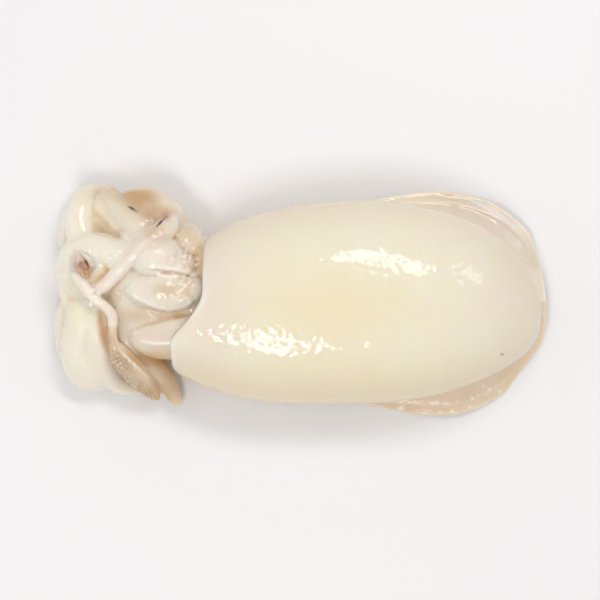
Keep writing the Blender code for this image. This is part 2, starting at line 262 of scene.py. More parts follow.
# Lines drawn on the upper side, seen from above, as X and Y.
FUNNEL_EDGE = ((-45, 2.6), (-42.6, 0.8), (-38.3, -1.2), (-34, -2.4), (-29.4, -1.4), (-27, 0.9))
FUNNEL_FOLD = ((-40, 8.2), (-37.4, 8.3), (-33, 7.8), (-29, 6.9), (-26, 6.4))
FUNNEL_LINE = ((-37.4, 6.9), (-34.6, 6.6), (-31.4, 6.3))
STALK_JOINT = ((-46, 11.6), (-44.3, 14.3), (-42.4, 16.5), (-39.4, 18.6), (-37.8, 19.3))
CLUB_JOINT = ((-49, -3), (-47.9, -7), (-46.4, -10.4), (-43.4, -14))
ARM_JOINT = ((-56.9, -5), (-56.8, -13), (-56.2, -20))
TONGUE_RIDGE = ((-42, -10.3), (-37, -10.9), (-31, -10.8))
EYE_SLIT = ((-45.1, 25.1), (-43.8, 24.4), (-42.2, 23.4))
CHEEK_SHADE = ((-49, 31), (-44, 28), (-40.8, 25.2), (-36.4, 23.4))
LEFT_SLIT = ((-37.6, 19.2), (-36.4, 20.6), (-34.6, 22.6))
STALK_GAP = ((-52.4, -1.6), (-52.2, -5), (-51.6, -9), (-51, -13))
ARM_GAP = ((-54.5, 24.8), (-54.2, 18.2), (-46.2, 16.4))
FIN_LINE = ((45.6, 27.6), (50, 25.2), (54.6, 22.3), (59, 19))
CLUB_EDGE = ((-45.6, -10.4), (-43, -14.2), (-40, -17.8), (-37.2, -21.6))
EAR = ((-31.4, 0.8), (-30.9, 2.8), (-29.4, 4.2), (-27.8, 5.8))
COLLAR_GAP = ((-44.4, -7.6), (-40, -6), (-35, -4.6), (-30.6, -3.7), (-28, -3.4))
CLUB_MIDDLE = ((-47.6, -12.4), (-45.4, -14.8), (-43, -17.2), (-39.6, -20.6))
MOUTH_SLIT = ((-57.8, 12.9), (-56.6, 11.4), (-55.7, 10.3), (-55.1, 9.1), (-55.3, 8.5))
MOUTH_FOLD = ((-57.4, 10.8), (-57.6, 9.4), (-56.6, 8.3), (-55.3, 8.4))
MOUTH_CORNER = ((-55.6, 6.6), (-54.8, 6.7), (-53.8, 7.4), (-53, 8.5), (-53.1, 9.2))

# Painted highlights on the crests of two folds lie a little to the left of their lines.
FUNNEL_EDGE_HIGHLIGHT = np.add(FUNNEL_EDGE, (0, 0.45))
FUNNEL_FOLD_HIGHLIGHT = np.add(FUNNEL_FOLD, (0, 0.9))

# Uneven skins and tints: the height or strength, the spacing in millimetres, and the seed.
RIPPLES = {
    "mantle_sag": (0.1, 34, 11), "mantle_slack": (0.03, 11, 12),
    "mantle_wrinkles": (0.055, 2.0, 13), "mantle_grain": (0.012, 2.6, 14),
    "fin_yellow": (0.15, 14, 21), "fin_amber": (0.04, 9, 22),
    "fin_waves": (0.05, 4, 23), "fin_wrinkles": (0.16, 2.2, 24), "fin_highlight_flecks": (1, 1.5, 25),
    "head_slack": (0.1, 9, 31), "head_grain": (0.035, 2.6, 32), "head_wrinkles": (1, 1.8, 33),
    "ink_edges": (0.25, 1.5, 34), "ink_specks": (1, 1.0, 35), "club_crest_highlights": (0.5, 1.4, 36),
    "lip_gathers": (1.5, 6, 37), "cheek_tan": (0.2, 5, 38), "head_highlight_flecks": (1, 1.1, 39),
    "sucker_tan": (0.5, 2.5, 72), "mouth_folds": (0.14, 1.7, 81), "mouth_red": (0.4, 1.6, 82),
}
WRINKLE_SQUEEZE = (1, 1.3, 1)

# Painted highlight flecks come in as the skin crinkles, between these two values.
HIGHLIGHT_FLECKS_FROM = (0, 0.625)

# Marks of the mantle: where it has crinkled, and its tints.
MANTLE_CRINKLES = (
    (0.8, (-8, -10, 27), (18, 6, 30)),
    (0.5, (44, 6, 22), (9, 6, 30)),
    (0.8, (-20, -7.6, 26), (6.5, 5, 30)),
    (0.65, (22, 10, 28), (18, 6, 30)),
)
MANTLE_YELLOW = ((0.8, (6, -3, 28), (26, 14, 30)),)
MANTLE_LILAC = ((0.6, (-24, 2, 26), (9, 22, 30)), (0.4, (56, 4, 14), (14, 20, 24)))
# A painted warm glow where light shines through the thin lip, at its -Y corner.
MANTLE_LIP_GLOW = ((0.35, (-31, -19, 8), (6, 5, 8)),)
MANTLE_INK = ((0.7, (53.1, -13.8, 20), (0.45, 0.3, 20)),)

# Marks of the fins.
FIN_CRINKLES = ((1, (50, -27, 4), (9, 4, 8)),)
FIN_LILAC = ((0.7, (52, 22, 6), (12, 8, 12)),)
# Painted shade on the upper fin's root, beside the mantle.
FIN_ROOT_SHADE = ((0.35, (42, 27, 6), (9, 4, 12)),)

# Where arms are pressed together, and where skin webs across their joints.
HEAD_PRESSED = (
    (1, (-54, -13, 6), (11, 13, 14)),
    (0.6, (-61, 14, 3), (4, 10, 6)),
    (0.9, (-53.4, 20.6, 13), (3.4, 4.4, 4)),
    (1, (-34.6, 20.4, 7), (4.5, 5, 8)),
)
HEAD_WEBS = (
    (1.5, STALK_JOINT, 2.4),
    (1, CLUB_JOINT, 2),
    (1.5, (-52.8, 25.8, 8), (2.2, 2.2, 8)),
    (1, (-45.4, 15.2, 15), (2.6, 2.6, 5)),
)

# Where the head's thin skin has crinkled, how much higher it is rucked up, and the upper side's relief,
# both in millimetres.
HEAD_CRINKLES = (
    (1, (-29.5, 11, 22), (3.4, 6, 8)),
    (0.9, (-29, 3, 22), (3, 4, 8)),
    (1, (-46, 1.6, 18), (2.6, 2, 8)),
    (0.9, (-39.4, 20, 18), (2, 2, 8)),
    (0.5, (-37, 8, 22), (5, 2, 8)),
    (1.2, (-53.6, 1.4, 18), (2, 3, 6)),
    (0.8, (-49.6, 11, 20), (2.2, 2, 6)),
    (0.4, (-37, 3, 22), (3, 2, 8)),
    (0.5, (-49.6, -18.2, 8), (1.5, 1.5, 6)),
)
HEAD_RUCKS = ((0.045, (-29.5, 10.5, 22), (3, 6, 8)), (0.04, (-53.6, 1.4, 18), (3, 3, 6)))
HEAD_RELIEF = (
    (0.35, TONGUE_RIDGE, 0.8),
    (-0.5, FUNNEL_FOLD, 0.5),
    (-0.5, LEFT_SLIT, 0.36),
    (-0.4, EYE_SLIT, 0.32),
    (0.3, EAR, 0.45),
    (-0.4, COLLAR_GAP, 0.6),
    (0.3, FUNNEL_LINE, 0.45),
    (-0.06, ARM_JOINT, 0.8),
    (0.7, (-57, 25.6, 12), (3.5, 2.2, 6)),
    (0.3, CLUB_MIDDLE, 0.5),
    (-0.4, STALK_GAP, 1.1),
)

# Tints of the head and arms: painted amber shade deep between them, patches of tan, much of it painted
# shade, lilac, yellow and flushed skin, painted highlights on crests, painted light on the outer sides,
# and places where the film of water has dried.
# Painted shade: amber in gaps and creases, under the tongue and folds, and beside the mantle's rim.
HEAD_AMBER_SHADE = (
    (1, STALK_GAP, 1.3),
    (0.5, (-40.5, 28.4, 10), (7, 3.5, 9)),
    (0.3, (-37, -15, 11), (8, 2, 5)),
    (0.5, (-31, -3.7, 17), (4, 0.9, 6)),
    (0.5, (-47.8, 17.4, 14), (1.6, 1, 6)),
    (0.7, (-35.6, 23.8, 15), (2.8, 1.5, 6)),
    (0.8, (-52.9, 6.4, 17.5), (2, 1.9, 4)),
    (0.5, (-29, 3.2, 21), (1.6, 3.4, 5)),
    (0.5, (-37, -16.5, 6), (9, 3, 5)),
    (0.3, (-37, -25, 3), (5, 8, 5)),
    (0.7, (-26.2, 11, 17), (2.2, 6, 5)),
)
# Tan: mostly painted shade, under the tongue, on the near arm and beside the mantle, partly the flesh's own
# tone.
HEAD_TAN_AND_SHADE = (
    (0.9, (-41, -3.5, 15), (8, 2.6, 6)),
    (1.2, (-37, -14.8, 14), (8, 2.8, 8)),
    (0.7, (-34.5, 3, 22), (4.5, 2.6, 5)),
    (0.7, (-37.5, 18.5, 21), (3, 3, 5)),
    (0.7, (-48, 2, 14), (3, 3, 5)),
    (1.1, (-36, -22, 5), (4.5, 7, 5)),
    (0.4, (-37, -9, 19), (8, 3, 5)),
    (0.4, (-31, 11, 22), (3, 6, 6)),
    (0.6, (-49, 29.5, 8), (6, 3, 9)),
    (0.7, (-29.5, 18.5, 14), (3, 5, 9)),
    (0.6, (-38.6, 21.6, 17), (2, 2, 5)),
    (0.2, (-46, 20, 16), (8, 7, 9)),
)
# Painted shade spread over the cheek.
CHEEK_TAN_SHADE = ((0.3, (-40, 27, 10), (9, 8, 10)),)
HEAD_LILAC = (
    (0.8, (-36, -9, 19), (8, 2.4, 5)),
    (0.7, (-32, 11, 23), (7, 5, 6)),
    (0.4, (-43, 20, 17), (6, 4, 6)),
    (0.5, (-48, -18, 9), (6, 6, 7)),
    (0.6, (-41, 3.5, 21), (2, 4, 6)),
)
# Yellow: mostly the flesh's own tone, with painted shade low at the upper arm's tip.
HEAD_YELLOW = (
    (0.8, (-61, 1, 12), (5, 8, 9)),
    (0.6, (-57, 28, 8), (8, 9, 8)),
    (1.2, (-50.5, 8.6, 19), (1.5, 1.5, 4)),
)
# Flushed skin: its own colour by the slits, and painted shade at the cheek band's end.
HEAD_FLUSH = (
    (0.8, (-35, 22.1, 18), (1.3, 1.1, 4)),
    (0.25, (-39.4, 23.2, 17), (1.8, 1.2, 4)),
    (0.28, (-37.2, 17.2, 19), (3.6, 2.4, 5)),
)
# Painted highlights along the crests of folds.
HEAD_CREST_HIGHLIGHTS = (
    (0.9, FUNNEL_EDGE_HIGHLIGHT, 0.4),
    (0.8, TONGUE_RIDGE, 0.4),
    (0.8, FUNNEL_FOLD_HIGHLIGHT, 0.35),
    (0.7, FUNNEL_LINE, 0.35),
    (0.5, EAR, 0.3),
    (0.5, CLUB_EDGE, 0.3),
)
# Painted light on the arms' outer sides, which face away from the lights.
HEAD_SIDE_LIGHT = ((0.9, (-61.5, 22.6, 10), (2.6, 7, 8)), (0.7, (-63, 5, 9), (2.6, 8, 8)))
HEAD_DRIED = (
    (1, (-56, -8, 12), (5, 6, 8)),
    (1, (-57, -15, 10), (3.6, 5, 8)),
    (1, (-37, -3.6, 16), (8, 1.7, 5)),
    (1, (-32, -6.6, 18), (2, 1.6, 4)),
)

# Ink stands in two slits, darkest at one end of each. A short dark line of painted shade lies in the crease
# below the arm gap.
LEFT_SLIT_DARKEST = ((1.4, (-36.5, 20.5, 19), (0.9, 0.9, 4)),)
EYE_SLIT_DARKEST = ((1.4, (-44.4, 24.8, 15), (1, 1, 6)),)
CREASE_DARK_LINE = ((0.4, (-47, 17.2, 15), (0.9, 0.35, 4)),)

# Marks of the mouth.
MOUTH_RELIEF = ((-0.8, MOUTH_SLIT, 0.36), (-0.35, MOUTH_FOLD, 0.35), (-0.4, MOUTH_CORNER, 0.35))
MOUTH_REDDEST = ((1, (-56.4, 9.3, 18), (1.6, 1.3, 4)),)
MOUTH_FLUSH = (
    (0.4, (-56.2, 7.3, 18), (1.8, 1.1, 4)),
    (0.55, (-53.6, 8.6, 18), (1.4, 1, 4)),
    (0.4, (-58.4, 9.8, 18), (1.3, 2.4, 4)),
)
MOUTH_AMBER = ((1, (-53.4, 6.8, 18), (2.2, 1.4, 4)), (1.1, (-55.8, 7.1, 18), (2, 1.2, 4)))
MOUTH_LILAC = ((1, (-58.6, 9.8, 18), (1.2, 2.4, 4)),)
MOUTH_SLIT_DARKEST = ((0.6, (-55.7, 10.4, 18), (0.9, 1.1, 4)),)
MOUTH_INK = ((0.35, MOUTH_CORNER, 0.25), (0.2, MOUTH_FOLD, 0.25))

# The flesh's tints: the painted layer, the colour, and how much of it the full layer mixes in. Amber and
# tan carry painted shade besides the flesh's own tones, and pale carries painted highlights and painted
# light.
TINTS = {
    "yellow": ("F2DFAC", 0.45),
    "tan": ("C8A46F", 0.75),
    "lilac": ("EBDAD3", 0.8),
    "amber": ("CC9446", 0.65),
    "flush": ("B0764E", 0.9),
    "pale": ("FFFAF2", 0.8),
    "ink": ("3A2818", 0.95),
}

# Wet flesh: muscle is nearly water, so it bends light a little more than water does, and red goes further
# into it than blue. The coat is the film of water.
FLESH_SURFACE = {
    "Roughness": 0.45,
    "IOR": 1.38,
    "Specular IOR Level": 0.3,
    "Subsurface Radius": (1.0, 0.66, 0.4),
    "Coat Roughness": 0.04,
    "Coat IOR": 1.4,
}
PATCH_WIDTH = 12 * MM
WRINKLE_SPACING = 1.2 * MM
WRINKLE_HEIGHT = 0.2 * MM

# How strong the wrinkles are on calm skin and what crinkled skin adds, how much of the film a dry place has
# lost, and how much light ink and the pale layer's painted highlights keep out.
CALM_BUMP = 0.06
CRINKLED_BUMP = 0.8
FILM_LOSS = 0.85
INK_COVER = 0.95
PALE_COVER = 0.6

# Soft lights: tilt, lead and roll in degrees, length and height in metres, and power in watts.
SOFTBOXES = {
    "left_box": (32, 13.5, -25, 0.38, 0.13, 1.35),
    "right_box": (-28, -11, -58, 0.3, 0.11, 1.25),
    "end_box": (30, 48, -10, 0.16, 0.1, 0.18),
    "arms_box": (5, -62, 90, 0.8, 0.5, 0.35),
}
LIGHT_DISTANCE = 0.7
ROOM_COLOUR = "F7F8FA"
ROOM_STRENGTH = 0.56
FLOOR_HALF = 3.0

# The camera: a long lens, how much of the frame's width the animal fills, and the level of its outline.
LENS_LENGTH = 150
SENSOR_WIDTH = 36
FRAME_FILL = 0.84
OUTLINE_LEVEL = 0.02


# Shapes


def ramp(value, start, end):
    """0 up to start, 1 from end on, and 3t^2 - 2t^3 between them; end may lie below start."""
    t = np.clip((value - start) / (end - start), 0, 1)
    return t * t * (3 - 2 * t)


def bell(t):
    """exp(-t^2): 1 at 0, and soon nothing."""
    return np.exp(-(t**2))


def ripples(points, name, waves=48):
    """An even noise of about +-height: a sum of sine waves near one spacing, in seeded random directions."""
    height, spacing, seed = RIPPLES[name]
    draw = np.random.default_rng(seed)
    directions = draw.normal(size=(waves, 3))
    directions /= np.linalg.norm(directions, axis=1, keepdims=True)
    numbers = 2 * np.pi / (spacing * draw.uniform(0.7, 1.4, waves))
    phases = draw.uniform(0, 2 * np.pi, waves)
    total = np.zeros(points.shape[:-1])
    for direction, number, phase in zip(directions, numbers, phases):
        total += np.sin(number * (points @ direction) + phase)
    return height * (total / np.sqrt(waves))


def near(points, place, reach):
    """A soft spot: 1 at the place, falling as exp(-(distance / reach)^2), reach given along X, Y and Z."""
    away = (points - np.asarray(place, float)) / reach
    return np.exp(-(away**2).sum(axis=-1))


def to_path(points, path):
    """(signed distance, share along) of each point, seen from above, to a line of straight runs.

    The sign is positive on the left of the line, looking along it, and belongs to the nearest run.
    """
    path = np.asarray(path, float)
    flat = points[..., :2]
    signed = np.full(flat.shape[:-1], 1e9)
    share = np.zeros(flat.shape[:-1])
    for place, (start, end) in enumerate(zip(path[:-1], path[1:])):
        run = end - start
        along = np.clip((flat - start) @ run / (run @ run), 0, 1)
        gap = np.linalg.norm(flat - start - along[..., None] * run, axis=-1)
        side = np.where(run[0] * (flat - start)[..., 1] - run[1] * (flat - start)[..., 0] > 0, 1, -1)
        closer = gap < np.abs(signed)
        signed = np.where(closer, gap * side, signed)
        share = np.where(closer, (place + along) / (len(path) - 1), share)
    return signed, share


def stroke(points, path, width):
    """1 on a line seen from above, falling as exp(-(distance / width)^2), and thinning out to both ends."""
    signed, share = to_path(points, path)
    taper = np.maximum(np.sin(np.pi * np.clip(0.04 + 0.92 * share, 0, 1)), 0) ** 0.6
    return taper * bell(signed / (width * (0.35 + 0.65 * taper)))


def marks(points, table):
    """The sum of a table's marks, each a stroke where its second entry is a line, else a soft spot."""
    total = np.zeros(points.shape[:-1])
    for strength, where, size in table:
        drawn = stroke if np.ndim(where) == 2 else near
        total += strength * drawn(points, where, size)
    return total


def patch(points, corners, soft):
    """1 inside the corners, seen from above and listed anticlockwise, fading out over soft at the sides."""
    corners = np.asarray(corners, float)
    inside = np.ones(points.shape[:-1])
    for start, end in zip(corners, np.roll(corners, -1, axis=0)):
        run = (end - start) / np.linalg.norm(end - start)
        off = run[0] * (points[..., 1] - start[1]) - run[1] * (points[..., 0] - start[0])
        inside = np.minimum(inside, ramp(off, -soft / 2, soft / 2))
    return inside


def flap(points, path, height, edge, fade):
    """A flap's crisp edge: up by height within edge, left of the line, then level again after fade."""
    signed, share = to_path(points, path)
    held = ramp(share, 0, 0.15) * ramp(share, 1, 0.9)
    return height * held * ramp(signed, -edge / 2, edge / 2) * bell(np.maximum(signed, 0) / fade)


def from_path(points, path):
    """The distance of each point from the nearest of many places along a smooth path."""
    nearest = np.full(len(points), 1e9)
    for place in smooth_path(path, NEAREST_STEPS):
        nearest = np.minimum(nearest, np.linalg.norm(points - place, axis=1))
    return nearest


def lip_share(turn):
    """How far the lips lie from the mouth's middle in this direction, about 1: their outline is uneven."""
    return 0.95 - 0.16 * np.cos(turn - 0.7) - 0.1 * np.cos(2 * turn - 1.4) + 0.04 * np.cos(5 * turn + 1)


def round_lips(points):
    """(turn, distance) of each point round the mouth's middle, the distance measured by the lips' outline."""
    away = points[:, :2] - LIPS_PLACE[:2]
    turn = np.arctan2(away[:, 1], away[:, 0])
    return turn, np.linalg.norm(away / LIPS_STRETCH, axis=1) / lip_share(turn)


def mantle_section(x):
    """(middle y, side level z, half width, belly height above it, back depth below it) at x."""
    tail = np.clip((x - WIDEST_X) / (TAIL_X - WIDEST_X), 0, 1)
    front = np.maximum(WIDEST_X - x, 0) / FRONT_LENGTH
    round_tail = (1 - tail**TAIL_SHARPNESS) ** (1 / TAIL_BLUNTNESS)
    half_width = (HALF_WIDTH - FRONT_NARROWING * front**3) * round_tail
    middle = -FRONT_SIDE_SHIFT * front**1.5 - TAIL_SIDE_SHIFT * tail**6
    level = SIDE_LEVEL - TAIL_LEVEL_DROP * tail**3
    above = (BELLY_HEIGHT - SIDE_LEVEL - BELLY_FRONT_DROP * front**2) * round_tail
    below = SIDE_LEVEL * (1 - tail**4) ** 0.5
    return middle, level, half_width, above, below


def mantle_points(x, angle, share):
    """Points of the sections at x: angle 0 is the +Y side, 90 degrees the belly, and share 1 the skin."""
    middle, level, half_width, above, below = mantle_section(x)
    up = np.sin(angle)
    deep = np.minimum(np.minimum(-REST_FLATTENING * below * up, below), level)
    z = level + share * np.where(up > 0, above * up, -deep)
    return np.stack([x + 0 * angle, middle + share * half_width * np.cos(angle), z], axis=-1)


def rim_x(angle):
    """Where the rim of the mantle's mouth lies at this angle."""
    y = RIM_MIDDLE_Y + RIM_HALF_WIDTH * np.cos(angle)
    slope = ramp(y, RIM_SLOPE_START_Y, RIM_SLOPE_START_Y - RIM_SLOPE_LENGTH)
    under = np.maximum(-np.sin(angle), 0)
    return RIM_LEFT_X + (RIM_RIGHT_X - RIM_LEFT_X) * slope - RIM_BACK_REACH * under**2


def fin_width(along, broad_width, closing_start):
    """The fin's width, from its front end at 0 to the tail at 1: it swells, then closes to the narrow rim."""
    opening = np.minimum(along / FIN_OPENING, 1)
    closing = np.clip((along - closing_start) / (FIN_CLOSED - closing_start), 0, 1)
    swell = bell((along - FIN_BROADEST) / FIN_SWELL)
    width = FIN_FRONT_WIDTH * opening + (broad_width - FIN_FRONT_WIDTH) * swell
    return width + (FIN_RIM_WIDTH - width) * closing


def smooth_path(points, count):
    """count + 1 points evenly spread along a Catmull-Rom curve through the given ones."""
    points = np.asarray(points, float)
    held = np.concatenate([[2 * points[0] - points[1]], points, [2 * points[-1] - points[-2]]])
    t = np.linspace(0, 1, CURVE_STEPS, endpoint=False)[None, :, None]
    a, b, c, d = (held[i : len(held) - 3 + i, None, :] for i in range(4))
    curved = (2 * a - 5 * b + 4 * c - d) * t**2 + (3 * b - a - 3 * c + d) * t**3
    dense = (0.5 * (2 * b + (c - a) * t + curved)).reshape(-1, 3)
    dense = np.concatenate([dense, points[-1:]])
    run = run_along(dense)
    at = np.linspace(0, run[-1], count + 1)
    return np.stack([np.interp(at, run, dense[:, k]) for k in range(3)], axis=1)


def run_along(points):
    """The way from the first point to each of them, along the points."""
    return np.concatenate([[0], np.cumsum(np.linalg.norm(np.diff(points, axis=0), axis=1))])


def frames_along(path):
    """Unit vectors at each point of a path: ahead, level sideways, and up across both."""
    ahead = np.gradient(path, axis=0)
    ahead /= np.linalg.norm(ahead, axis=1, keepdims=True)
    side = np.cross([0, 0, 1], ahead)
    side /= np.linalg.norm(side, axis=1, keepdims=True)
    return ahead, side, np.cross(ahead, side)


def tube(points, sizes, rings=90, around=36):
    """Rings of an oval tube along a smooth path, with round ends.

    sizes gives (half width, half thickness) at 0 to 1 along it. Within about one radius of either end both
    are multiplied by sqrt(1 - (1 - d / r)^2), d being the way to that end, which makes a half ball of it.
    """
    path = smooth_path(points, rings)
    ahead = frames_along(path)[0]
    thickness = sizes(np.array([0.0, 1.0]))[1]
    reach = TUBE_END_REACH * thickness[:, None] * ahead[[0, -1]]
    path = np.concatenate([[path[0] - reach[0]], path, [path[-1] + reach[1]]])
    path = smooth_path(path, rings + 2)
    _, side, up = frames_along(path)
    along = np.clip(np.linspace(-1 / rings, 1 + 1 / rings, rings + 3), 0, 1)
    width, thickness = sizes(along)
    run = run_along(path)
    to_end = np.minimum(run, run[-1] - run)
    cap = np.sqrt(np.maximum(1 - (1 - np.clip(to_end / (TUBE_CLOSING * thickness), 0, 1)) ** 2, 1e-4))
    turn = np.linspace(0, 2 * np.pi, around, endpoint=False)
    across = side[:, None] * (width * cap)[:, None, None] * np.cos(turn)[None, :, None]
    lift = up[:, None] * (thickness * cap)[:, None, None] * np.sin(turn)[None, :, None]
    rows = path[:, None] + across + lift
    rows[..., 2] = np.maximum(rows[..., 2], 0)
    return rows


def arm_sizes(root_radius):
    """A tapered arm: the radius falls from its root as 1 - s^taper, down to a blunt tip."""

    def sizes(along):
        radius = ARM_TIP_RADIUS + (root_radius - ARM_TIP_RADIUS) * (1 - along**ARM_TAPER)
        return radius, radius * ARM_FLATNESS

    return sizes


def tentacle_sizes(stalk_radius, club_half_width):
    """A thin stalk that ends in a flat club, widest half way along the club."""

    def sizes(along):
        club = np.clip((along - CLUB_START) / (1 - CLUB_START), 0, 1)
        swell = np.sin(np.pi * club**CLUB_LEAN) ** CLUB_FULLNESS
        narrow = 1 - CLUB_TIP_NARROWING * club**4
        width = stalk_radius * narrow + (club_half_width - stalk_radius) * swell
        thickness = stalk_radius * narrow + (CLUB_HALF_THICKNESS - stalk_radius) * swell
        return width, thickness

    return sizes


def ball(centre, half_sizes, rings=40, around=72):
    """Rings of a ball stretched to its half sizes, from its lowest point up, flat where it rests."""
    rise = (np.linspace(-0.5, 0.5, rings) * np.pi * 0.999)[:, None]
    turn = np.linspace(0, 2 * np.pi, around, endpoint=False)
    flat = np.cos(rise)
    unit = np.stack([flat * np.cos(turn), flat * np.sin(turn), np.sin(rise) + 0 * turn], axis=-1)
    rows = np.asarray(centre, float) + unit * half_sizes
    rows[..., 2] = np.maximum(rows[..., 2], 0)
    return rows


# Meshes


def closed(rows):
    """(points, faces) of a closed skin through rings of points, each end closed by a fan to its middle."""
    count, around = rows.shape[:2]
    points = np.concatenate([rows.reshape(-1, 3), [rows[0].mean(axis=0)], [rows[-1].mean(axis=0)]])
    i, j = np.meshgrid(np.arange(count - 1), np.arange(around), indexing="ij")
    following = (j + 1) % around
    quads = np.stack(
        [i * around + j, i * around + following, (i + 1) * around + following, (i + 1) * around + j], axis=-1
    ).reshape(-1, 4)
    k = np.arange(around)
    first, last = count * around, count * around + 1
    start = np.stack([(k + 1) % around, k, 0 * k + first], axis=-1)
    end = np.stack([(count - 1) * around + k, (count - 1) * around + (k + 1) % around, 0 * k + last], axis=-1)
    return points, quads.tolist() + start.tolist() + end.tolist()


def joined(parts):
    """One (points, faces) from several."""
    points, faces, start = [], [], 0
    for part_points, part_faces in parts:
        points.append(part_points)
        faces += [[v + start for v in face] for face in part_faces]
        start += len(part_points)
    return np.concatenate(points), faces


def placed(name, mesh):
    """A new object of this mesh in the scene, smooth-shaded."""
    mesh.shade_smooth()
    obj = bpy.data.objects.new(name, mesh)
    bpy.context.scene.collection.objects.link(obj)
    return obj


def mesh_object(name, points, faces):
    """An object from points in the animal's millimetres, put in the frame's metres."""
    mesh = bpy.data.meshes.new(name)
    mesh.from_pydata(((points - BOX_MIDDLE) * MM).tolist(), [], faces)
    mesh.update()
    return placed(name, mesh)


def rows_of(items, field, width, kind=float):
    """One row of numbers for each item of a mesh."""
    flat = np.empty(len(items) * width, dtype=kind)
    items.foreach_get(field, flat)
    return flat.reshape(-1, width)


def mesh_points(mesh):
    """The mesh's points, back in the animal's millimetres."""
    return rows_of(mesh.vertices, "co", 3) / MM + BOX_MIDDLE


def move_points(mesh, points):
    """Puts points in the animal's millimetres into the mesh."""
    mesh.vertices.foreach_set("co", ((points - BOX_MIDDLE) * MM).ravel())
    mesh.update()


def mesh_normals(mesh):
    """The outward direction at each point of the mesh."""
    return rows_of(mesh.vertex_normals, "vector", 3)


def mesh_edges(mesh):
    """The two points of each edge of the mesh."""
    return rows_of(mesh.edges, "vertices", 2, np.int32)


def eased(points, edges, rounds, share=EASE_IN):
    """Each point moved by share towards the mean of its neighbours, this many rounds."""
    first, second = edges.T
    count = np.bincount(edges.ravel(), minlength=len(points))[:, None]
    for _ in range(rounds):
        total = np.zeros_like(points)
        for k in range(points.shape[1]):
            total[:, k] = np.bincount(first, points[second, k], len(points))
            total[:, k] += np.bincount(second, points[first, k], len(points))
        points = points + share * (total / count - points)
    return points


def hollow(points, normals, edges, rounds):
    """How far each point lies below the skin as eased this many rounds: more than 0 in a crease."""
    return ((eased(points, edges, rounds) - points) * normals).sum(axis=1)


def one_skin(name, parts):
    """Closed parts run together by a voxel remesh, their joints then eased with little loss of size."""
    rough = mesh_object(name + "_rough", *joined(parts))
    remesh = rough.modifiers.new("one_skin", "REMESH")
    remesh.mode = "VOXEL"
    remesh.voxel_size = SKIN_VOXEL * MM
    graph = bpy.context.evaluated_depsgraph_get()
    mesh = bpy.data.meshes.new_from_object(rough.evaluated_get(graph))
    bpy.data.objects.remove(rough)
    mesh.name = name
    edges = mesh_edges(mesh)
    points = mesh_points(mesh)
    for _ in range(SKIN_ROUNDS):
        points = eased(points, edges, 1, EASE_IN)
        points = eased(points, edges, 1, EASE_OUT)
    move_points(mesh, points)
    return placed(name, mesh)


def paint(obj, **layers):
    """Keeps a number of 0 to 1 for each point in every layer, which the flesh's material reads by name."""
    for name, values in layers.items():
        layer = obj.data.attributes.new(name, "FLOAT", "POINT")
        layer.data.foreach_set("value", np.clip(values, 0, 1).astype(np.float32))


# The animal's pieces


def mantle():
    """The sack, from the bottom of its mouth along the inner wall, round the lip and back to the tail.

    Outside, ring s of 0 to 1 lies at 1 - (1 - s)^1.6 of the way, so that the rings close up at the tail.
    """
    angle = np.linspace(0, 2 * np.pi, MANTLE_AROUND, endpoint=False)
    rim = rim_x(angle)
    inner = 1 - WALL_SHARE
    rows = [mantle_points(rim + MOUTH_DEPTH, angle, share * inner) for share in MOUTH_FLOOR_SHARES]
    rows += [mantle_points(rim + depth * MOUTH_DEPTH, angle, inner) for depth in MOUTH_WALL_DEPTHS]
    inside = len(rows) * MANTLE_AROUND
    for turn in LIP_TURNS:
        share = 1 - WALL_SHARE / 2 + WALL_SHARE / 2 * np.sin(turn)
        rows.append(mantle_points(rim + LIP_RADIUS * (1 - np.cos(turn)), angle, share))
    start = rim + LIP_RADIUS
    for along in 1 - (1 - np.arange(1, MANTLE_ALONG) / MANTLE_ALONG) ** TAIL_CROWDING:
        rows.append(mantle_points(start + (TAIL_X - start) * along, angle, 1))
    obj = mesh_object("mantle", *closed(np.array(rows)))
    mesh = obj.data
    points, normals = mesh_points(mesh), mesh_normals(mesh)
    crinkled = marks(points, MANTLE_CRINKLES)
    slack = ripples(points, "mantle_sag") + ripples(points, "mantle_slack")
    fine = ripples(points, "mantle_wrinkles") * np.clip(crinkled, 0, 1.5) + ripples(points, "mantle_grain")
    points = points + normals * ((slack + fine) * ramp(points[:, 2], 0, 4))[:, None]
    move_points(mesh, points)
    x, y, z = points.T
    # Painted shade: amber on the low parts, on the steeper sides and deep in the mouth, and a painted warm
    # glow through the thin lip.
    pouch_shade = ramp(np.abs(x - rim_x(0.0) - 8), 6, 2) * (np.arange(len(points)) < inside)
    side = ramp(normals[:, 2], 0.98, 0.48) * 0.22 + ramp(normals[:, 2], 0.5, 0.1) * 0.2
    amber = ramp(z, 9, 0) * 0.4 + side + 0.8 * pouch_shade + marks(points, MANTLE_LIP_GLOW)
    behind_rim = x - rim_x(np.arctan2(z - SIDE_LEVEL, y - RIM_MIDDLE_Y))
    # The yellower -Y side is painted shade, and the pale band just behind the rim is a painted highlight
    # along the lip, which is also thinner and paler.
    paint(
        obj,
        yellow=marks(points, MANTLE_YELLOW) + 0.5 * ramp(y, -10, -22),
        lilac=marks(points, MANTLE_LILAC),
        amber=amber,
        dry=amber,
        crinkle=0.05 + 0.16 * crinkled,
        ink=marks(points, MANTLE_INK),
        pale=0.8 * bell((behind_rim - 0.4) / 0.9),
    )
    return obj


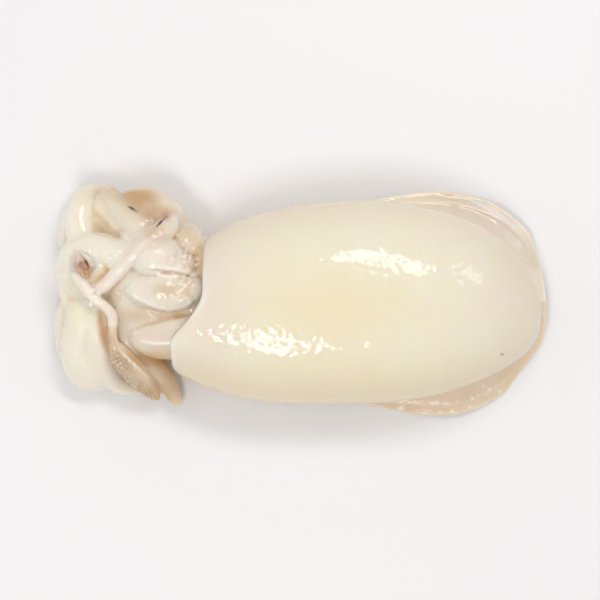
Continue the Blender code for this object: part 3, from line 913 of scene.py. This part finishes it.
def fins():
    """Both fins as one leaf, whose section runs along the -Y side, round the tail and back along +Y."""
    x = FIN_FRONT_X + (TAIL_X - FIN_FRONT_X) * np.sin(0.5 * np.pi * np.arange(FIN_ALONG) / FIN_ALONG)
    right = mantle_points(x, np.pi + FIN_ROOT_ANGLE, FIN_ROOT_SHARE)
    left = mantle_points(x, -FIN_ROOT_ANGLE, FIN_ROOT_SHARE)
    tip = mantle_points(np.array([TAIL_X]), 0.0, 1)
    roots = np.concatenate([right, tip, left[::-1]])
    run = run_along(roots)
    on_left = np.arange(len(roots)) > FIN_ALONG
    along = np.where(on_left, (run[-1] - run) / (run[-1] - run[FIN_ALONG]), run / run[FIN_ALONG])
    left_width = fin_width(along, FIN_LEFT_WIDTH, FIN_LEFT_CLOSING)
    right_width = fin_width(along, FIN_RIGHT_WIDTH, FIN_RIGHT_CLOSING)
    width = np.where(on_left, left_width, right_width)
    ahead = np.gradient(roots, axis=0)
    out = np.stack([ahead[:, 1], -ahead[:, 0], 0 * run], axis=1)
    out /= np.linalg.norm(out, axis=1, keepdims=True)
    wave = FIN_WAVE_HEIGHT * np.sin(2 * np.pi * FIN_WAVES * run / run[-1])
    ruffle = FIN_RUFFLE_HEIGHT * np.sin(run * 0.52) * np.sin(run * 0.13 + 1)
    drop = np.minimum(roots[:, 2] - FIN_EDGE_LEVEL - wave, FIN_STEEPEST * width)
    fullness = FIN_FRONT_FULLNESS + (1 - FIN_FRONT_FULLNESS) * np.minimum(along / FIN_FULL_AT, 1)
    # The section is one closed line: out over the top, round the edge and back below.
    turn = np.linspace(0, np.pi, 9)[1:-1]
    flat = np.linspace(0, 1, FIN_ACROSS)
    share = np.concatenate([flat, np.ones(len(turn)), flat[::-1]])
    face = np.concatenate([np.ones(FIN_ACROSS), np.cos(turn), -np.ones(FIN_ACROSS)])
    beyond = np.concatenate([np.zeros(FIN_ACROSS), np.sin(turn), np.zeros(FIN_ACROSS)])
    thick = fullness[:, None] * (FIN_ROOT_THICKNESS + (FIN_EDGE_THICKNESS - FIN_ROOT_THICKNESS) * share)
    rows = roots[:, None] + out[:, None] * (width[:, None] * share + thick / 2 * (beyond - 1))[..., None]
    # A low fold runs just inside the rim, where the leaf is bent up a little.
    fold = FIN_FOLD_HEIGHT * bell((share - FIN_FOLD_PLACE) / FIN_FOLD_WIDTH)
    level = roots[:, 2:] - drop[:, None] * (1 - (1 - share) ** FIN_BEND) + ruffle[:, None] * share**3
    level += fold * ramp(width[:, None], 5, 9)
    rows[..., 2] = np.maximum(level, thick / 2) + face * thick / 2
    obj = mesh_object("fins", *closed(rows))
    points, normals = mesh_points(obj.data), mesh_normals(obj.data)
    crinkled = marks(points, FIN_CRINKLES)
    fine = ripples(points, "fin_waves") + ripples(points, "fin_wrinkles") * crinkled
    fine += 0.18 * stroke(points, FIN_LINE, 0.45)
    points = points + normals * (fine * ramp(points[:, 2], 0, 2))[:, None]
    move_points(obj.data, points)
    # Painted shade darkens the lower fin and tans the upper fin's root; painted highlights lie along the fin
    # line and fleck the lower fin's rucked-up skin.
    shaded_lower_fin = points[:, 1] < 0
    amber = 0.02 + 0.2 * shaded_lower_fin + ripples(points, "fin_amber")
    highlight_flecks = ramp(crinkled, *HIGHLIGHT_FLECKS_FROM) * ramp(ripples(points, "fin_highlight_flecks"), 0.75, 1.15)
    paint(
        obj,
        yellow=0.12 + ripples(points, "fin_yellow"),
        amber=amber,
        dry=amber,
        pale=1.3 * stroke(points, FIN_LINE, 0.48) + highlight_flecks,
        lilac=marks(points, FIN_LILAC),
        tan=marks(points, FIN_ROOT_SHADE) + 0.2 * shaded_lower_fin,
        crinkle=0.2 + 0.5 * crinkled,
    )
    return obj


def eased_joints(points, normals, edges):
    """The head's skin with its joints pressed flat, webbed across creases, or healed over."""
    pressed = ramp(1.5 * marks(points, HEAD_PRESSED), 0, 1)
    points = points + (eased(points, edges, ROUNDS["pressed"]) - points) * pressed[:, None]
    # Everywhere the skin webs across the bottom of a crease.
    webbed = 0.8 * np.maximum(hollow(points, normals, edges, ROUNDS["creases"]), 0)
    points = points + normals * webbed[:, None]
    joints = np.clip(marks(points, HEAD_WEBS), 0, 1)
    webbed = joints * np.maximum(hollow(points, normals, edges, ROUNDS["webs"]), 0)
    points = points + normals * webbed[:, None]
    healed = ramp(1.6 * stroke(points, STALK_JOINT, 1.3), 0, 1)
    return points + (eased(points, edges, ROUNDS["healed"]) - points) * healed[:, None]


def drawn_on_head(points):
    """Heights of the head's flaps, slits and folds, and of the lips' ring and gathers."""
    drawn = flap(points, FUNNEL_EDGE, 0.75, 0.4, 2.2) + flap(points, FUNNEL_FOLD, 0.5, 0.4, 1.2)
    drawn += marks(points, HEAD_RELIEF) - 0.4 * patch(points, ARM_GAP, 1.8)
    turn, pit = round_lips(points)
    drawn += 0.12 * bell((pit - 4.4) / 1.2) - 0.5 * ramp(pit, LIPS_RADIUS, 1.6)
    gathers = np.cos(LIPS_GATHERS * turn + ripples(points, "lip_gathers")) * bell((pit - LIPS_RADIUS) / 1.3)
    return drawn + 0.1 * gathers * ramp(points[:, 1] - LIPS_PLACE[1], -1, 1)


def head_and_arms():
    """The head, funnel, collar, arms and tentacles, run together into one soft skin.

    The grooves, flaps and slits of the upper side are then drawn into it along lines seen from above.
    """
    parts = [closed(ball(*place)) for place in (*MASSES.values(), JOINT_FILL)]
    parts += [closed(tube(path, arm_sizes(root_radius))) for root_radius, *path in ARMS.values()]
    for stalk_radius, club_half_width, *path in TENTACLES.values():
        parts.append(closed(tube(path, tentacle_sizes(stalk_radius, club_half_width), rings=TENTACLE_RINGS)))
    obj = one_skin("head_and_arms", parts)
    mesh = obj.data
    normals, edges = mesh_normals(mesh), mesh_edges(mesh)
    points = eased_joints(mesh_points(mesh), normals, edges)
    # Only what faces up, and lies above the arms' lower half, is drawn on.
    top = ramp(normals[:, 2], 0.1, 0.5) * ramp(points[:, 2], 8, 10)
    crinkled = np.clip(marks(points, HEAD_CRINKLES), 0, 1)
    lips_inside = ramp(round_lips(points)[1], 3.9, 2.3) * top
    relief = ripples(points, "head_slack") + ripples(points, "head_grain")
    rucked = (0.095 + marks(points, HEAD_RUCKS)) * crinkled
    relief += rucked * ripples(points * WRINKLE_SQUEEZE, "head_wrinkles")
    raised = relief * ramp(points[:, 2], 0, 2) + drawn_on_head(points) * top
    points = points + normals * raised[:, None]
    points[:, 2] = np.maximum(points[:, 2], 0)
    move_points(mesh, points)
    colour_head(obj, points, edges, top, crinkled, lips_inside)
    return obj


def colour_head(obj, points, edges, top, crinkled, lips_inside):
    """Paints the head and arms: amber painted shade grows with a crease's depth, the rest follows the marks.
    """
    normals = mesh_normals(obj.data)
    x, _, z = points.T
    # Painted shade: amber in creases of two sizes, on low flesh and on flesh beside the mantle's rim.
    crease_shade = 0.5 * ramp(hollow(points, normals, edges, ROUNDS["fine"]), 0, 0.22)
    crease_shade += 0.75 * ramp(hollow(points, normals, edges, ROUNDS["broad"]), 0, 0.8)
    low = ramp(z, 9, 0)
    shade_by_mantle = ramp(x, -31, -28) * ramp(z, 16, 8)
    cheek_shade = stroke(points, CHEEK_SHADE, 3.4) * ramp(z, 6, 15)
    # The arm gap is painted as olive shade: yellow and tan in place of amber.
    gap_shade = patch(points, ARM_GAP, 1.2)
    # Painted shade in gaps, under folds and along the cheek.
    deep = marks(points, HEAD_AMBER_SHADE) + 0.16 * cheek_shade
    amber = (crease_shade * (0.6 + 0.5 * low) + 0.2 * low + 0.5 * shade_by_mantle + deep) * (1 - gap_shade)
    club = ramp(from_path(points, CLUB_PATH), 4, 2.5)
    left_band = club * ramp(to_path(points, np.array(CLUB_PATH)[:, :2])[0], 0.9, -0.3)
    # Tan: painted shade on the cheek, under the tongue and beside the mantle, besides the flesh's own tone.
    cheek = 0.8 * cheek_shade + marks(points, CHEEK_TAN_SHADE)
    tan = cheek * (1 + ripples(points, "cheek_tan")) + marks(points, HEAD_TAN_AND_SHADE) + 0.3 * gap_shade
    bloom = marks(points, HEAD_LILAC)
    for _, _, *path in TENTACLES.values():
        bloom += 0.4 * ramp(from_path(points, path), 3.2, 1.6)
    ink = stroke(points, LEFT_SLIT, 0.3) * (0.6 + marks(points, LEFT_SLIT_DARKEST))
    ink += stroke(points, EYE_SLIT, 0.28) * (0.8 + marks(points, EYE_SLIT_DARKEST))
    # The ink layer also carries the short dark line of painted shade in a crease.
    ink = (ink + marks(points, CREASE_DARK_LINE)) * (0.8 + ripples(points, "ink_edges"))
    specks = 0.5 * left_band * ramp(ripples(points, "ink_specks"), 1.3, 1.8)
    # Painted highlights along the crests of folds and down the club's middle.
    crest_highlights = marks(points, HEAD_CREST_HIGHLIGHTS)
    crest_highlights += stroke(points, CLUB_MIDDLE, 0.36) * (0.7 + ripples(points, "club_crest_highlights"))
    # Where the thin skin has rucked up, flecks of painted highlight are put on it.
    highlight_flecks = ramp(crinkled, *HIGHLIGHT_FLECKS_FROM) * ramp(ripples(points, "head_highlight_flecks"), 0.85, 1.25)
    # Amber, the gap's yellow and tan, the cheek's flush and much of the tan are painted shade; pale is
    # painted highlights and painted light on the arms' outer sides.
    paint(
        obj,
        amber=amber,
        tan=tan + 0.5 * club + 0.25 * left_band,
        lilac=bloom - left_band - 0.3 * club,
        yellow=marks(points, HEAD_YELLOW) + 1.5 * gap_shade,
        flush=0.1 * lips_inside + marks(points, HEAD_FLUSH) + 0.08 * club + 0.12 * cheek_shade,
        ink=(ink + specks) * (z > 5),
        pale=(crest_highlights + highlight_flecks) * top + marks(points, HEAD_SIDE_LIGHT),
        dry=amber + marks(points, HEAD_DRIED),
        crinkle=0.08 + 0.25 * crinkled + 0.4 * club,
    )


def suckers():
    """Small cups in staggered rows on the upper face of the right tentacle's club, uneven in size."""
    rings, around = 260, 56
    stalk_radius, club_half_width, *path = TENTACLES["right_tentacle"]
    rows = tube(path, tentacle_sizes(stalk_radius, club_half_width), rings=rings, around=around)
    draw = np.random.default_rng(71)
    turn = np.linspace(0, 2 * np.pi, 12, endpoint=False)
    parts = []
    for place, share in enumerate(np.linspace(*SUCKER_REACH, SUCKER_ROWS)):
        ring = rows[int(share * rings)]
        middle = ring.mean(axis=0)
        for column in range(SUCKER_COLUMNS):
            degrees = SUCKER_FACING + (column - 1.3) * SUCKER_SPACING + SUCKER_STAGGER[place % 2]
            angle = np.radians(degrees + draw.uniform(-SUCKER_STRAY, SUCKER_STRAY))
            spot = ring[int(angle / (2 * np.pi) * around) % around]
            outward = (spot - middle) / np.linalg.norm(spot - middle)
            radius = draw.uniform(*SUCKER_RADII) * (1 - 0.3 * share**4)
            radius *= 0.5 + 0.5 * ramp(share, CLUB_START, CLUB_START + 0.12)
            level = np.cross(outward, [1, 0, 0])
            level /= np.linalg.norm(level)
            spokes = np.cos(turn)[:, None] * level + np.sin(turn)[:, None] * np.cross(outward, level)
            out, up = SUCKER_OUTLINE.T[:, :, None, None]
            parts.append(closed(spot + radius * (out * spokes + up * outward)))
    obj = mesh_object("suckers", *joined(parts))
    paint(obj, tan=0.5 + ripples(mesh_points(obj.data), "sucker_tan"))
    return obj


def mouth():
    """The beak's muscle, pushed up into the lips: a low mound, gathered into a few uneven folds.

    Its height falls off as (1 - r^2)^1.5, with folds of cos(5 t) that grow with r, less the slits between.
    """
    turn = np.linspace(0, 2 * np.pi, 160, endpoint=False)
    share = np.concatenate([[1.0], np.linspace(1, 0.02, 60)])
    r, t = np.meshgrid(share, turn, indexing="ij")
    x = MOUTH_HALF_LENGTH * lip_share(t) * r * np.cos(t)
    y = MOUTH_HALF_WIDTH * lip_share(t) * r * np.sin(t)
    rows = np.stack([x, y, MOUTH_MOUND * (1 - r**2) ** 1.5 + MOUTH_LEVEL], axis=-1) + LIPS_PLACE
    folds = 0.1 * np.cos(5 * t + 2.5 * r) * ramp(r, 0, 0.5) + ripples(rows, "mouth_folds")
    rows[..., 2] += folds * ramp(r, 1, 0.7) + marks(rows, MOUTH_RELIEF)
    rows[0, :, 2] = LIPS_PLACE[2] - MOUTH_FOOT
    obj = mesh_object("mouth", *closed(rows))
    points = mesh_points(obj.data)
    reddest = (0.95 + ripples(points, "mouth_red")) * marks(points, MOUTH_REDDEST)
    slit = stroke(points, MOUTH_SLIT, 0.3) * (0.35 + marks(points, MOUTH_SLIT_DARKEST))
    paint(
        obj,
        flush=0.12 + reddest + marks(points, MOUTH_FLUSH),
        amber=marks(points, MOUTH_AMBER),
        lilac=marks(points, MOUTH_LILAC),
        ink=slit + marks(points, MOUTH_INK),
        crinkle=0.6 + 0 * points[:, 0],
    )
    return obj


# Finishes


def colour(code):
    """The linear colour of an sRGB hex value."""
    shares = [int(code[i : i + 2], 16) / 255 for i in (0, 2, 4)]
    return (*[s / 12.92 if s <= 0.04045 else ((s + 0.055) / 1.055) ** 2.4 for s in shares], 1.0)


def node(tree, kind, settings=None, **links):
    """Adds a node, sets its properties and sockets, and links its inputs; a name's _ stands for a space."""
    made = tree.nodes.new(kind)
    for key, value in (settings or {}).items():
        setattr(made, key, value)
    for key, value in links.items():
        socket = made.inputs[int(key[1:]) if key[0] == "i" and key[1:].isdigit() else key.replace("_", " ")]
        if isinstance(value, bpy.types.NodeSocket):
            tree.links.new(value, socket)
        else:
            socket.default_value = value
    return made


def raw_flesh(name, pale, warm, depth, deep=True):
    """Raw cuttlefish, cleaned by hand: ivory muscle that light sinks into, under a thin film of water.

    The eye sees a pale body with no hard shade, amber where flesh meets flesh and light would have passed
    through it twice, which the amber layer paints in as shade, lilac where the skin is thinnest, and lights
    that break up on fine wrinkles, helped by highlights the pale layer paints in. The two colours are those
    of thin and thick muscle, and depth is how far light goes, in millimetres. A piece too small for light to
    sink into is not deep.
    """
    material = bpy.data.materials.new(name)
    material.use_nodes = True
    tree = material.node_tree
    shader = tree.nodes["Principled BSDF"]
    place = node(tree, "ShaderNodeTexCoord").outputs["Object"]
    layers = ("crinkle", "dry", *TINTS)
    kind = "ShaderNodeAttribute"
    painted = {layer: node(tree, kind, {"attribute_name": layer}).outputs["Fac"] for layer in layers}

    # Patches 12 mm across, as the muscle lies thicker or thinner.
    patches = node(tree, "ShaderNodeTexNoise", Vector=place, Scale=1 / PATCH_WIDTH, Detail=3.0).outputs[0]
    mix = node(tree, "ShaderNodeMix", {"data_type": "RGBA"}, i0=patches, i6=colour(pale), i7=colour(warm))
    multiply, scale_up = {"operation": "MULTIPLY"}, {"operation": "MULTIPLY_ADD"}
    for layer, (code, strength) in TINTS.items():
        share = node(tree, "ShaderNodeMath", multiply, i0=painted[layer], i1=strength).outputs[0]
        base = mix.outputs[2]
        mix = node(tree, "ShaderNodeMix", {"data_type": "RGBA"}, i0=share, i6=base, i7=colour(code))
    tree.links.new(mix.outputs[2], shader.inputs["Base Color"])

    # Wrinkles 1.2 mm apart, which break up the lights where the flesh has crinkled.
    strength = node(
        tree, "ShaderNodeMath", scale_up, i0=painted["crinkle"], i1=CRINKLED_BUMP, i2=CALM_BUMP
    ).outputs[0]
    fine = node(tree, "ShaderNodeTexNoise", Vector=place, Scale=1 / WRINKLE_SPACING, Detail=2.0).outputs[0]
    bump = node(tree, "ShaderNodeBump", Strength=strength, Height=fine, Distance=WRINKLE_HEIGHT).outputs[0]
    tree.links.new(bump, shader.inputs["Normal"])
    tree.links.new(bump, shader.inputs["Coat Normal"])

    # The film is thinner where flesh meets flesh, and where it has dried.
    film = node(tree, "ShaderNodeMath", scale_up, i0=painted["dry"], i1=-FILM_LOSS, i2=1.0).outputs[0]
    tree.links.new(film, shader.inputs["Coat Weight"])

    # Ink lies on the surface and keeps the light out, and where the pale layer paints highlights less light
    # sinks in, so they stay crisp.
    if deep:
        sunk = node(tree, "ShaderNodeMath", scale_up, i0=painted["ink"], i1=-INK_COVER, i2=1.0).outputs[0]
        kept = node(tree, "ShaderNodeMath", scale_up, i0=painted["pale"], i1=-PALE_COVER, i2=1.0).outputs[0]
        share = node(tree, "ShaderNodeMath", multiply, i0=sunk, i1=kept).outputs[0]
        tree.links.new(share, shader.inputs["Subsurface Weight"])

    shader.inputs["Subsurface Scale"].default_value = depth * MM
    for socket, value in FLESH_SURFACE.items():
        shader.inputs[socket].default_value = value
    return material


def pale_board():
    """A plain pale board: matt, nearly white."""
    material = bpy.data.materials.new("pale_floor")
    material.use_nodes = True
    shader = material.node_tree.nodes["Principled BSDF"]
    shader.inputs["Base Color"].default_value = colour("F4F2F1")
    shader.inputs["Roughness"].default_value = 0.6
    return material


# The studio


def floor():
    """A square floor, wide enough for every view."""
    corners = FLOOR_HALF * np.array([(-1, -1, 0), (1, -1, 0), (1, 1, 0), (-1, 1, 0)])
    mesh = bpy.data.meshes.new("floor")
    mesh.from_pydata(corners.tolist(), [], [(0, 1, 2, 3)])
    obj = bpy.data.objects.new("floor", mesh)
    bpy.context.scene.collection.objects.link(obj)
    mesh.materials.append(pale_board())


def softbox(name, tilt, lead, roll, wide, tall, power):
    """A soft light seen from the animal at tilt degrees towards +Y and lead degrees towards +X of overhead.

    Its long side lies along X, turned by roll degrees.
    """
    light = bpy.data.lights.new(name, "AREA")
    light.shape = "RECTANGLE"
    light.size = wide
    light.size_y = tall
    light.energy = power
    obj = bpy.data.objects.new(name, light)
    back = Vector((np.tan(np.radians(lead)), np.tan(np.radians(tilt)), 1)).normalized()
    side = Vector((1, 0, 0)).cross(back).cross(back).normalized() * -1
    side = Matrix.Rotation(np.radians(roll), 3, back) @ side
    obj.matrix_world = Matrix((side, back.cross(side), back)).transposed().to_4x4()
    obj.location = back * LIGHT_DISTANCE
    obj.visible_camera = False
    bpy.context.scene.collection.objects.link(obj)


def studio():
    """A bright even room and four soft lights.

    Slim boxes to either side give the mantle its two streaks, a small one beyond the tail lights its end,
    and a broad weak one beyond the arms lights their outer sides.
    """
    world = bpy.data.worlds.new("studio")
    world.use_nodes = True
    background = world.node_tree.nodes["Background"]
    background.inputs["Color"].default_value = colour(ROOM_COLOUR)
    background.inputs["Strength"].default_value = ROOM_STRENGTH
    bpy.context.scene.world = world
    for name, measures in SOFTBOXES.items():
        softbox(name, *measures)
    bpy.context.scene.view_settings.view_transform = "Standard"


def camera():
    """Straight above, as the photo was taken; the animal fills five sixths of the frame's width."""
    lens = bpy.data.cameras.new("camera")
    lens.lens = LENS_LENGTH
    lens.sensor_width = SENSOR_WIDTH
    obj = bpy.data.objects.new("camera", lens)
    width = (cad_box[1] - cad_box[0]).x / FRAME_FILL
    obj.location = (0, 0, width / lens.sensor_width * lens.lens + OUTLINE_LEVEL)
    bpy.context.scene.collection.objects.link(obj)
    bpy.context.scene.camera = obj


def main():
    """Makes every piece, gives it its flesh, and sets up the studio round it."""
    fleshes = {
        mantle: raw_flesh("raw_flesh", "F3EDDD", "F0E7CE", 3.2),
        fins: raw_flesh("raw_flesh_thin", "FAF0E2", "F7E8D3", 1.2),
        head_and_arms: raw_flesh("raw_flesh_arms", "F5F0E3", "F1E7D3", 2.4),
        suckers: raw_flesh("raw_flesh_small", "E6D6C4", "E2CDB4", 0.6, deep=False),
        mouth: raw_flesh("raw_flesh_mouth", "EFE6D8", "EBDDCB", 0.6, deep=False),
    }
    for make, flesh in fleshes.items():
        piece = make()
        piece.data.materials.clear()
        piece.data.materials.append(flesh)
        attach(piece, "root")
        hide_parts(NODE)
    floor()
    studio()
    camera()


main()
